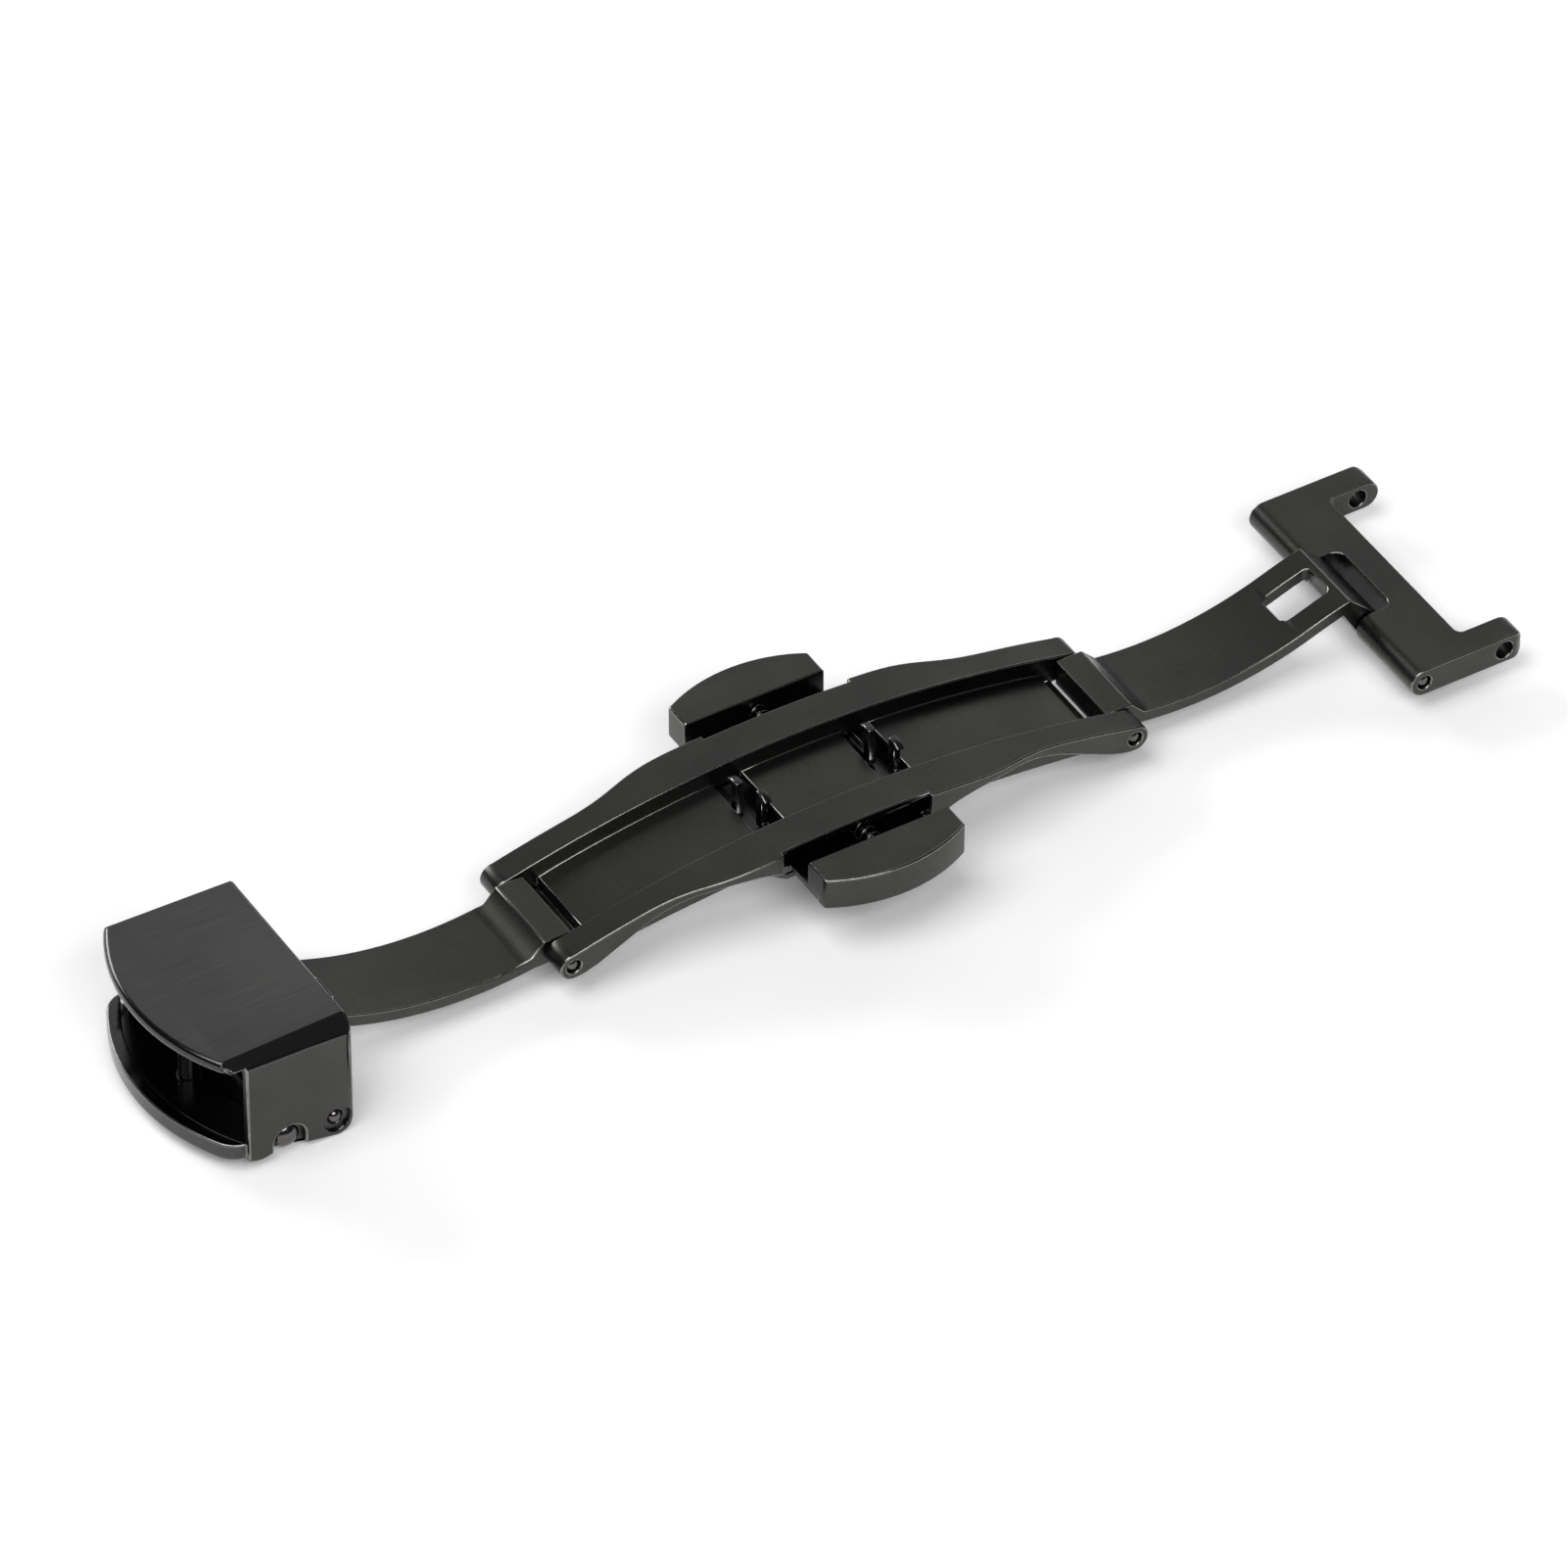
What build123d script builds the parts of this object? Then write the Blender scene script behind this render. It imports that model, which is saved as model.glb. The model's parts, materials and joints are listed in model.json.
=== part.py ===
from build123d import *
import math
import os

os.makedirs("parts", exist_ok=True)

# A double-push deployant clasp for a strap, stored fully open.
# X runs along the strap, Y across it, and Z up, away from the wrist.

# Fits
running_gap = 0.04
seat_gap = 0.01
side_gap = 0.1
overrun = 8.0
edge_round = 0.15

# Hinges
hinge_half_span = 21.2
pin_r = 0.5
eye_r = 1.0
pin_inset = 0.05

# Centre channel
rail_crown = 3.67
rail_half_middle = 6.33
rail_half_end = 5.2
rail_wide_half = 7.5
rail_narrow_from = 16.0
trough_depth = 1.3
core_wall = 0.9
core_underside = 0.6
ledge_top = -0.6
ledge_underside = -1.0
floor_end_clearance = 2.2
scallop_x = 9.8
scallop_leave_share = 0.77
scallop_reach_share = 0.5
flange_thickness = 0.67
block_half = 5.5
block_underside = 1.05

# Folding leaves
leaf_half = 3.1
leaf_thickness = 0.95
knuckle_r = 1.0
leaf_start_x = 2.0
leaf_start_z = -0.05
leaf_dip_x = 8.5
leaf_dip_z = -0.2
leaf_rise_x = 15.0
leaf_rise_z = 1.35
leaf_tip_x = 17.95
leaf_tip_z = 2.3
leaf_nose = 0.4
leaf_barrel_r = 0.95
leaf_root_share = 0.72
left_window_from = 15.4
right_window_from = 13.8
leaf_window_to = 17.45
leaf_window_half = 1.35
leaf_window_round = 0.5

# Lug plate for the strap end
lug_reach = 19.4
lug_drop = 0.4
plate_r = 1.05
plate_length = 6.85
ear_gap_half = 7.85
ear_width = 2.05
ear_end_round = 0.9
ear_gap_round = 0.5
ear_gap_from = 3.9
plate_notch_reach = 1.75
plate_notch_round = 0.8
spring_bar_offset = 6.25
spring_bar_hole_r = 0.65

# Cap that holds the strap
cap_reach = 19.25
cap_drop = 1.53
cap_half = 8.25
cap_lobe_r = 1.4
cap_side_length = 7.45
cap_peak_length = 10.0
cap_crown = 7.93
cap_top_thickness = 0.75
cap_wall = 0.65
cap_wall_length = 6.4
cap_front_round = 2.0
cap_back_round = 0.6
cap_top_round = 0.4
bevel_front = 0.8
bevel_back = 1.15
wall_waist_length = 4.4
wall_waist_z = -0.6
wall_toe_length = 5.6
wall_toe_z = -0.9
wall_front_length = 6.8
wall_front_z = -0.31
pin_sink_r = 0.95
pin_sink_depth = 0.25

# Strap gate under the cap
gate_pin_offset = 3.41
gate_pin_drop = 0.12
gate_barrel_r = 0.8
gate_underside = -0.22
gate_thickness = 0.6
gate_rim_height = 1.25
gate_rim_width = 1.0
gate_slot_half = 1.15
gate_slot_depth = 0.45
gate_head_r = 0.85
tongue_offset = 6.1
tongue_r = 0.7
tongue_height = 3.1

# Pushers
pusher_half = 5.3
pusher_inner = 7.68
pusher_side = 9.8
pusher_peak = 11.2
pusher_underside = 1.13
pusher_height = 2.43
pusher_stroke = 1.0
pusher_corner_round = 0.3

# Latches and their claws
latch_underside = 1.1
latch_thickness = 0.55
latch_base_inner = 4.5
latch_base_outer = 5.6
latch_left = 5.25
latch_wing = 6.6
latch_right = 4.55
latch_tongue_outer = 9.0
arm_inner = 0.5
claw_centre = 5.0
claw_pitch = 0.8
claw_width = 0.55
claw_inner = 0.55
claw_outer = 1.25
claw_lip = 0.45
claw_lip_z = 3.7
claw_lip_thickness = 0.35
claw_lead = 0.25
floor_window_from = 3.75
floor_window_to = 5.85

# Guide stems and springs
stem_z = 2.45
stem_r = 0.38
stem_end_y = 8.6
spring_r = 0.68
spring_wire = 0.2
guide_hole_depth = 0.65
latch_rivet_r = 0.35
latch_rivet_x = 2.4
latch_rivet_y = 8.35
latch_rivet_length = 1.4

# Mechanism pocket and its cover
slot_left = 6.15
slot_right = 4.85
slot_top = 3.2
flange_half = 6.0
outer_wall = 0.68
cavity_half = 6.8
cover_thickness = 0.4
cover_half_length = 6.7
cover_half_width = 5.5
cover_corner_cut = 1.2
cover_tab_reach = 8.5
cover_tab_half = 2.6
cover_rivet_r = 0.4
cover_rivet_x = 7.6
cover_rivet_y = 1.6
cover_rivet_depth = 1.0

# Worked out from the sizes above
trough_half = leaf_half + side_gap
core_half = trough_half + core_wall
floor_end = hinge_half_span - floor_end_clearance
rail_drop = rail_crown - eye_r
rail_radius = (hinge_half_span**2 + rail_drop**2) / (2 * rail_drop)
cap_pin_x = hinge_half_span + cap_reach
lug_pin_x = hinge_half_span + lug_reach
plate_half = ear_gap_half + ear_width
gate_pin_x = cap_pin_x + gate_pin_offset
gate_pin_z = -cap_drop - gate_pin_drop
cap_back_x = cap_pin_x - cap_lobe_r
cap_side_x = cap_pin_x + cap_side_length
cap_peak_x = cap_pin_x + cap_peak_length
cap_top_z = -cap_drop + cap_crown
cap_bottom_z = -cap_drop - cap_lobe_r
cap_inner_half = cap_half - cap_wall
gate_bottom_z = -cap_drop + gate_underside
cavity_top = latch_underside + latch_thickness + side_gap

# The origin is under the middle of the open clasp, level with its lowest point.
centre_x = (cap_peak_x - lug_pin_x - plate_length - plate_r) / 2
axis_z = -cap_bottom_z


def rail_top(x):
    """Height of the rails' top face at a distance x from the middle."""
    return rail_crown - rail_radius + math.sqrt(rail_radius**2 - x**2)


def trough_floor(x):
    return rail_top(x) - trough_depth


def sweep_x(z):
    """How far out the floor's ledge may reach at a height z, clear of the turning knuckle."""
    clear_r = knuckle_r * math.sqrt(2) + side_gap
    return hinge_half_span - math.sqrt(clear_r**2 - z**2)


ledge_end = sweep_x(ledge_underside)
ledge_middle = (ledge_top + ledge_underside) / 2
core_drop = core_underside - ledge_underside
core_radius = (ledge_end**2 + core_drop**2) / (2 * core_drop)


def core_bottom(x):
    """Height of the channel's wrist side at a distance x from the middle."""
    return core_underside - core_radius + math.sqrt(core_radius**2 - x**2)


def side(x=0, z=0, y=0, turn=1):
    """A plane along the clasp: its x runs outwards from the middle and its y is up."""
    origin = (centre_x + turn * x, -turn * y, axis_z + z)
    return Plane(origin=origin, x_dir=(turn, 0, 0), z_dir=(0, -turn, 0))


def plan(z=0, turn=1):
    """A level plane over the middle, turned half round for the far pusher."""
    return Plane(origin=(centre_x, 0, axis_z + z), x_dir=(turn, 0, 0), z_dir=(0, 0, 1))


def across(x=0, turn=1):
    """A plane across the clasp at a distance x from the middle."""
    return Plane(origin=(centre_x + turn * x, 0, axis_z), x_dir=(0, turn, 0), z_dir=(turn, 0, 0))


def tangent_point(outside, centre, radius, turn):
    """Where a line from a point outside a circle touches it, on the chosen side."""
    away = Vector(*outside) - Vector(*centre)
    angle = math.degrees(math.acos(radius / away.length))
    touch = away.normalized().rotate(Axis.Z, turn * angle) * radius
    return (centre[0] + touch.X, centre[1] + touch.Y)


def save(piece, label):
    piece.part.label = label
    export_step(piece.part, f"parts/{label}.step")


# Centre channel: two arched rails, a floor between them and hinge eyes at its ends
with BuildPart() as centre_channel:
    with BuildSketch(side(y=trough_half)):
        with BuildLine():
            crown = ThreePointArc((-hinge_half_span, eye_r), (0, rail_crown), (hinge_half_span, eye_r))
            scallop_run = hinge_half_span - scallop_x
            scallop_z = rail_top(scallop_x) - flange_thickness
            for turn in (1, -1):
                eye_top = (turn * hinge_half_span, eye_r)
                eye_side = (turn * (hinge_half_span + eye_r), 0)
                eye_bottom = (turn * hinge_half_span, -eye_r)
                scallop = (turn * scallop_x, scallop_z)
                block_corner = (turn * block_half, block_underside)
                ThreePointArc(eye_top, eye_side, eye_bottom)
                leave_x = turn * (scallop_x + scallop_leave_share * scallop_run)
                reach_x = turn * (scallop_x + scallop_reach_share * scallop_run)
                Bezier(eye_bottom, (leave_x, -eye_r), (reach_x, scallop_z), scallop)
                ease_x = turn * (scallop_x + block_half) / 2
                shoulder = (turn * block_half, block_underside + flange_thickness)
                Bezier(scallop, (ease_x, scallop_z), shoulder, block_corner)
            Line((-block_half, block_underside), (block_half, block_underside))
        make_face()
    extrude(amount=rail_half_middle - trough_half)
    mirror(about=Plane.XZ)
    with BuildSketch(plan(-eye_r)):
        with BuildLine():
            for turn in (1, -1):
                middle_x = (rail_wide_half + rail_narrow_from) / 2
                end_x = hinge_half_span + eye_r + side_gap
                for flip in (1, -1):
                    wide = (flip * rail_wide_half, turn * rail_half_middle)
                    narrow = (flip * rail_narrow_from, turn * rail_half_end)
                    ease_out = (flip * middle_x, turn * rail_half_middle)
                    ease_in = (flip * middle_x, turn * rail_half_end)
                    Bezier(wide, ease_out, ease_in, narrow)
                    Line(narrow, (flip * end_x, turn * rail_half_end))
                Line((-rail_wide_half, turn * rail_half_middle), (rail_wide_half, turn * rail_half_middle))
            Line((end_x, rail_half_end), (end_x, -rail_half_end))
            Line((-end_x, rail_half_end), (-end_x, -rail_half_end))
        make_face()
    extrude(amount=rail_crown + 2 * eye_r, mode=Mode.INTERSECT)
    with BuildSketch(side()):
        with BuildLine():
            ThreePointArc((-floor_end, rail_top(floor_end)), (0, rail_crown), (floor_end, rail_top(floor_end)))
            for turn in (1, -1):
                Polyline(
                    (turn * floor_end, rail_top(floor_end)),
                    (turn * floor_end, ledge_top),
                    (turn * sweep_x(ledge_top), ledge_top),
                )
                ThreePointArc(
                    (turn * sweep_x(ledge_top), ledge_top),
                    (turn * sweep_x(ledge_middle), ledge_middle),
                    (turn * ledge_end, ledge_underside),
                )
            ThreePointArc((ledge_end, ledge_underside), (0, core_underside), (-ledge_end, ledge_underside))
        make_face()
    extrude(amount=core_half, both=True)
    with BuildSketch(side()):
        with BuildLine():
            floor_z = trough_floor(floor_end)
            ThreePointArc((-floor_end, floor_z), (0, trough_floor(0)), (floor_end, floor_z))
            Line((floor_end, floor_z), (floor_end, rail_crown + overrun))
            Line((floor_end, rail_crown + overrun), (-floor_end, rail_crown + overrun))
            Line((-floor_end, rail_crown + overrun), (-floor_end, floor_z))
        make_face()
    extrude(amount=trough_half, both=True, mode=Mode.SUBTRACT)
    # pocket under the floor for the latches, and slots for the pushers' tongues
    with BuildSketch(plan(cavity_top)):
        Rectangle(2 * cavity_half, 2 * (rail_half_middle - outer_wall))
    extrude(amount=-overrun, mode=Mode.SUBTRACT)
    for turn in (1, -1):
        for inner, height in ((core_half, -overrun), (flange_half, overrun)):
            with BuildSketch(plan(slot_top, turn=turn)):
                with Locations((-slot_left, -inner)):
                    reach = rail_half_middle + side_gap - inner
                    Rectangle(slot_left + slot_right, reach, align=(Align.MIN, Align.MAX))
            extrude(amount=height, mode=Mode.SUBTRACT)
    with BuildSketch(plan(rail_crown)):
        for turn in (1, -1):
            with Locations((turn * (floor_window_from + floor_window_to) / 2, 0)):
                Rectangle(floor_window_to - floor_window_from, 2 * trough_half)
    extrude(amount=-overrun, mode=Mode.SUBTRACT)
    # seat for the cover's end tabs
    with BuildSketch(side()):
        with BuildLine():
            seat_x = cover_tab_reach + side_gap
            seat_z = core_bottom(seat_x) + cover_thickness
            seat_top = core_underside + cover_thickness
            ThreePointArc((-seat_x, seat_z), (0, seat_top), (seat_x, seat_z))
            Line((seat_x, seat_z), (seat_x, -overrun))
            Line((seat_x, -overrun), (-seat_x, -overrun))
            Line((-seat_x, -overrun), (-seat_x, seat_z))
        make_face()
    extrude(amount=cover_tab_half + side_gap, both=True, mode=Mode.SUBTRACT)
    rivet_seat_z = core_bottom(cover_rivet_x) + cover_rivet_depth
    with BuildSketch(plan(rivet_seat_z)):
        with GridLocations(2 * cover_rivet_x, 2 * cover_rivet_y, 2, 2):
            Circle(cover_rivet_r + seat_gap)
    extrude(amount=-overrun, mode=Mode.SUBTRACT)
    # blind guide holes for the stems, then the hinge bores
    for turn in (1, -1):
        with BuildSketch(side(z=stem_z, y=core_half - guide_hole_depth, turn=turn)):
            Circle(stem_r + seat_gap)
        extrude(amount=guide_hole_depth + side_gap, mode=Mode.SUBTRACT)
    for turn in (1, -1):
        with BuildSketch(side(x=hinge_half_span, turn=turn)):
            Circle(pin_r + seat_gap)
        extrude(amount=rail_half_middle, both=True, mode=Mode.SUBTRACT)
save(centre_channel, "centre_channel")

# Mechanism cover: a thin arched plate on the wrist side, with a tab at each end
with BuildPart() as mechanism_cover:
    with BuildSketch(side()):
        with BuildLine():
            cover_low = core_bottom(cover_tab_reach)
            cover_top = cover_thickness - seat_gap
            ThreePointArc((-cover_tab_reach, cover_low), (0, core_underside), (cover_tab_reach, cover_low))
            Line((cover_tab_reach, cover_low), (cover_tab_reach, cover_low + cover_top))
            ThreePointArc(
                (cover_tab_reach, cover_low + cover_top),
                (0, core_underside + cover_top),
                (-cover_tab_reach, cover_low + cover_top),
            )
            Line((-cover_tab_reach, cover_low + cover_top), (-cover_tab_reach, cover_low))
        make_face()
    extrude(amount=cover_half_width, both=True)
    with BuildSketch(plan(cover_low)) as outline:
        Rectangle(2 * cover_half_length, 2 * cover_half_width)
        chamfer(outline.vertices(), cover_corner_cut)
        Rectangle(2 * cover_tab_reach, 2 * cover_tab_half)
    extrude(amount=overrun, both=True, mode=Mode.INTERSECT)
    with BuildSketch(plan()):
        with GridLocations(2 * cover_rivet_x, 2 * cover_rivet_y, 2, 2):
            Circle(cover_rivet_r + seat_gap)
    extrude(amount=overrun, both=True, mode=Mode.SUBTRACT)
save(mechanism_cover, "mechanism_cover")

# Cover rivets: four short plain rivets, flush with the cover
with BuildPart() as cover_rivets:
    with BuildSketch(plan(core_bottom(cover_rivet_x))):
        with GridLocations(2 * cover_rivet_x, 2 * cover_rivet_y, 2, 2):
            Circle(cover_rivet_r)
    extrude(amount=cover_rivet_depth)
save(cover_rivets, "cover_rivets")


def make_pin(label, x, z, half_length, turn):
    """A plain hinge pin across the clasp, with softened ends."""
    with BuildPart() as pin:
        with BuildSketch(side(x=x, z=z, turn=turn)):
            Circle(pin_r)
        extrude(amount=half_length, both=True)
        chamfer(pin.edges().group_by(Axis.Y)[0] + pin.edges().group_by(Axis.Y)[-1], edge_round)
    save(pin, label)


make_pin("left_channel_pin", hinge_half_span, 0, rail_half_end - pin_inset, -1)
make_pin("right_channel_pin", hinge_half_span, 0, rail_half_end - pin_inset, 1)
make_pin("lug_plate_pin", lug_pin_x, -lug_drop, plate_half - pin_inset, 1)
make_pin("cap_hinge_pin", cap_pin_x, -cap_drop, cap_half - pin_inset, -1)

# Gate pin: a hinge pin with a round head in each of the cap's notches
with BuildPart() as gate_pin:
    head_base = cap_half - gate_slot_depth
    with BuildSketch(side(x=gate_pin_x, z=gate_pin_z, turn=-1)):
        Circle(pin_r)
    extrude(amount=head_base, both=True)
    for turn in (1, -1):
        with BuildSketch(side(x=-turn * gate_pin_x, z=gate_pin_z, y=head_base, turn=turn)):
            Circle(gate_head_r)
        extrude(amount=gate_slot_depth - pin_inset)
    chamfer(gate_pin.edges().group_by(Axis.Y)[0] + gate_pin.edges().group_by(Axis.Y)[-1], edge_round)
save(gate_pin, "gate_pin")


def make_leaf(label, reach, drop, window_from, turn):
    """A folding leaf: knuckle, double-curved blade with a latch window, and end barrel."""
    start = (leaf_start_x, leaf_start_z)
    tip = (leaf_tip_x, leaf_tip_z)
    barrel = (reach, -drop)
    with BuildPart() as leaf:
        with BuildSketch(side(x=hinge_half_span, turn=turn)):
            with BuildLine():
                sweep_up = ThreePointArc(start, (leaf_dip_x, leaf_dip_z), (leaf_rise_x, leaf_rise_z))
                level_off = TangentArc(sweep_up @ 1, tip, tangent=sweep_up % 1)

                def under(curve, share):
                    at = curve @ share
                    along = curve % share
                    return (at.X + along.Y * leaf_thickness, at.Y - along.X * leaf_thickness)

                nose = (leaf_tip_x + leaf_nose, leaf_tip_z - leaf_nose)
                outer_touch = tangent_point(nose, barrel, leaf_barrel_r, -1)
                root = under(level_off, leaf_root_share)
                inner_touch = tangent_point(root, barrel, leaf_barrel_r, 1)
                Line(tip, nose)
                Line(nose, outer_touch)
                ThreePointArc(outer_touch, (reach, -drop - leaf_barrel_r), inner_touch)
                Line(inner_touch, root)
                ThreePointArc(root, under(level_off, leaf_root_share / 2), under(level_off, 0))
                ThreePointArc(under(sweep_up, 1), under(sweep_up, 0.5), under(sweep_up, 0))
                Line(under(sweep_up, 0), (0, -knuckle_r))
                Polyline((0, -knuckle_r), (-knuckle_r, -knuckle_r), (-knuckle_r, knuckle_r))
                Polyline((-knuckle_r, knuckle_r), (knuckle_r, knuckle_r), start)
            make_face()
        extrude(amount=leaf_half, both=True)
        for x, z in ((0, 0), barrel):
            with BuildSketch(side(x=hinge_half_span + x, z=z, turn=turn)):
                Circle(pin_r + running_gap)
            extrude(amount=overrun, both=True, mode=Mode.SUBTRACT)
        window_x = hinge_half_span + (window_from + leaf_window_to) / 2
        with BuildSketch(plan(turn=turn)):
            with Locations((window_x, 0)):
                RectangleRounded(leaf_window_to - window_from, 2 * leaf_window_half, leaf_window_round)
        extrude(amount=overrun, both=True, mode=Mode.SUBTRACT)
    save(leaf, label)


# The left leaf's window starts further out, where the cap's back edge covers it
make_leaf("left_leaf", cap_reach, cap_drop, left_window_from, -1)
make_leaf("right_leaf", lug_reach, lug_drop, right_window_from, 1)

# Lug plate: an H-shaped plate with rounded edges, bored for the strap's spring bar
with BuildPart() as lug_plate:
    with BuildSketch(side(x=lug_pin_x, z=-lug_drop)):
        with Locations((plate_length / 2, 0)):
            SlotCenterToCenter(plate_length, 2 * plate_r)
    extrude(amount=plate_half, both=True)
    with BuildSketch(plan(-overrun)) as outline:
        with Locations((lug_pin_x + plate_length + plate_r, 0)):
            Rectangle(plate_length + 2 * plate_r, 2 * plate_half, align=(Align.MAX, Align.CENTER))
        fillet(outline.vertices().group_by(Axis.X)[-1], ear_end_round)
    extrude(amount=2 * overrun, mode=Mode.INTERSECT)
    with BuildSketch(plan()):
        with Locations((lug_pin_x + ear_gap_from, 0)):
            RectangleRounded(overrun, 2 * ear_gap_half, ear_gap_round, align=(Align.MIN, Align.CENTER))
        with Locations((lug_pin_x + plate_notch_reach, 0)):
            RectangleRounded(overrun, 2 * trough_half, plate_notch_round, align=(Align.MAX, Align.CENTER))
    extrude(amount=overrun, both=True, mode=Mode.SUBTRACT)
    with BuildSketch(side(x=lug_pin_x, z=-lug_drop)):
        Circle(pin_r + seat_gap)
        with Locations((spring_bar_offset, 0)):
            Circle(spring_bar_hole_r)
    extrude(amount=plate_half + side_gap, both=True, mode=Mode.SUBTRACT)
save(lug_plate, "lug_plate")


def cap_outline():
    """The cap's D shape seen from above: square at the hinge, bowed at the front."""
    with BuildSketch(mode=Mode.PRIVATE) as outline:
        with BuildLine():
            Line((cap_back_x, -cap_half), (cap_side_x, -cap_half))
            ThreePointArc((cap_side_x, -cap_half), (cap_peak_x, 0), (cap_side_x, cap_half))
            Line((cap_side_x, cap_half), (cap_back_x, cap_half))
            Line((cap_back_x, cap_half), (cap_back_x, -cap_half))
        make_face()
        fillet(outline.vertices().group_by(Axis.X)[-1], cap_front_round)
        fillet(outline.vertices().group_by(Axis.X)[0], cap_back_round)
    return outline.sketch


# Cap: a D-shaped box, open at the front, back and bottom, with bevelled top edges
with BuildPart() as cap_shell:
    with BuildSketch(plan(cap_bottom_z, turn=-1)):
        add(cap_outline())
    extrude(amount=cap_top_z - cap_bottom_z)
    fillet(cap_shell.edges().group_by(Axis.Z)[-1], cap_top_round)
    with BuildSketch(side(x=cap_back_x - overrun, z=cap_top_z - cap_top_thickness, turn=-1)):
        Rectangle(cap_peak_length + 2 * overrun, cap_crown + overrun, align=(Align.MIN, Align.MAX))
    extrude(amount=cap_inner_half, both=True, mode=Mode.SUBTRACT)
    # the side walls end behind the bowed front, and their lower edge rises towards it
    with BuildSketch(side(x=cap_pin_x + cap_wall_length, z=cap_top_z - cap_top_thickness, turn=-1)):
        Rectangle(cap_peak_length, cap_crown + overrun, align=(Align.MIN, Align.MAX))
    extrude(amount=cap_half + side_gap, both=True, mode=Mode.SUBTRACT)
    with BuildSketch(side(x=cap_pin_x, z=-cap_drop, turn=-1)):
        with BuildLine():
            waist = (wall_waist_length, wall_waist_z)
            toe = (wall_toe_length, wall_toe_z)
            front = (wall_front_length, wall_front_z)
            RadiusArc((0, -cap_lobe_r), (-cap_lobe_r, 0), cap_lobe_r)
            Line((0, -cap_lobe_r), waist)
            ThreePointArc(waist, toe, front)
            Polyline(front, (cap_peak_length, wall_front_z), (cap_peak_length, -overrun), (-overrun, -overrun))
            Polyline((-overrun, -overrun), (-overrun, 0), (-cap_lobe_r, 0))
        make_face()
    extrude(amount=cap_half + side_gap, both=True, mode=Mode.SUBTRACT)
    for flip in (1, -1):
        with BuildSketch(across(cap_back_x - side_gap, turn=-1)):
            Polygon(
                (flip * cap_half, cap_top_z),
                (flip * (cap_half - bevel_back), cap_top_z),
                (flip * cap_half, cap_top_z - bevel_back),
                align=None,
            )
        with BuildSketch(across(cap_peak_x, turn=-1)):
            Polygon(
                (flip * cap_half, cap_top_z),
                (flip * (cap_half - bevel_front), cap_top_z),
                (flip * cap_half, cap_top_z - bevel_front),
                align=None,
            )
        loft(mode=Mode.SUBTRACT)
    with BuildSketch(side(x=cap_pin_x, z=-cap_drop, turn=-1)):
        Circle(pin_r + seat_gap)
        with Locations((gate_pin_offset, -gate_pin_drop)):
            Circle(pin_r + seat_gap)
    extrude(amount=cap_half + side_gap, both=True, mode=Mode.SUBTRACT)
    for turn in (1, -1):
        with BuildSketch(side(x=-turn * cap_pin_x, z=-cap_drop, y=cap_half - pin_sink_depth, turn=turn)):
            Circle(pin_sink_r)
        extrude(amount=overrun, mode=Mode.SUBTRACT)
        with BuildSketch(side(x=-turn * gate_pin_x, z=gate_pin_z, y=cap_half - gate_slot_depth, turn=turn)):
            Circle(gate_slot_half)
            Rectangle(2 * gate_slot_half, overrun, align=(Align.CENTER, Align.MAX))
        extrude(amount=overrun, mode=Mode.SUBTRACT)
save(cap_shell, "cap_shell")

# Strap gate: the hinged floor of the cap, with a raised rim along its bowed front
with BuildPart() as strap_gate:
    gate_half = cap_inner_half - side_gap
    with BuildSketch(plan(gate_bottom_z, turn=-1)):
        with Locations((gate_pin_x, 0)):
            Rectangle(overrun, 2 * gate_half, align=(Align.MIN, Align.CENTER))
        with Locations((cap_pin_x + cap_wall_length + side_gap, 0)):
            Rectangle(overrun, 2 * cap_half, align=(Align.MIN, Align.CENTER))
        add(cap_outline(), mode=Mode.INTERSECT)
    extrude(amount=gate_rim_height)
    with BuildSketch(plan(gate_bottom_z + gate_thickness, turn=-1)):
        with BuildLine():
            inner_x = cap_side_x - gate_rim_width
            inner_peak = (cap_peak_x - gate_rim_width, 0)
            ThreePointArc((inner_x, -cap_half), inner_peak, (inner_x, cap_half))
            Polyline((inner_x, cap_half), (cap_pin_x, cap_half), (cap_pin_x, -cap_half), (inner_x, -cap_half))
        make_face()
    extrude(amount=gate_rim_height, mode=Mode.SUBTRACT)
    with BuildSketch(side(x=gate_pin_x, z=gate_pin_z, turn=-1)):
        Circle(gate_barrel_r)
    extrude(amount=gate_half, both=True)
    with BuildSketch(side(x=gate_pin_x, z=gate_pin_z, turn=-1)):
        Circle(pin_r + running_gap)
    extrude(amount=cap_half, both=True, mode=Mode.SUBTRACT)
    with BuildSketch(plan(gate_bottom_z, turn=-1)):
        with Locations((cap_pin_x + tongue_offset, 0)):
            Circle(tongue_r + seat_gap)
    extrude(amount=gate_rim_height, both=True, mode=Mode.SUBTRACT)
save(strap_gate, "strap_gate")

# Tongue: the round stud that goes through the strap's hole
with BuildPart() as strap_tongue:
    with BuildSketch(plan(gate_bottom_z, turn=-1)):
        with Locations((cap_pin_x + tongue_offset, 0)):
            Circle(tongue_r)
    extrude(amount=tongue_height)
    chamfer(strap_tongue.edges().group_by(Axis.Z)[-1], tongue_r / 2)
save(strap_tongue, "strap_tongue")


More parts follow.
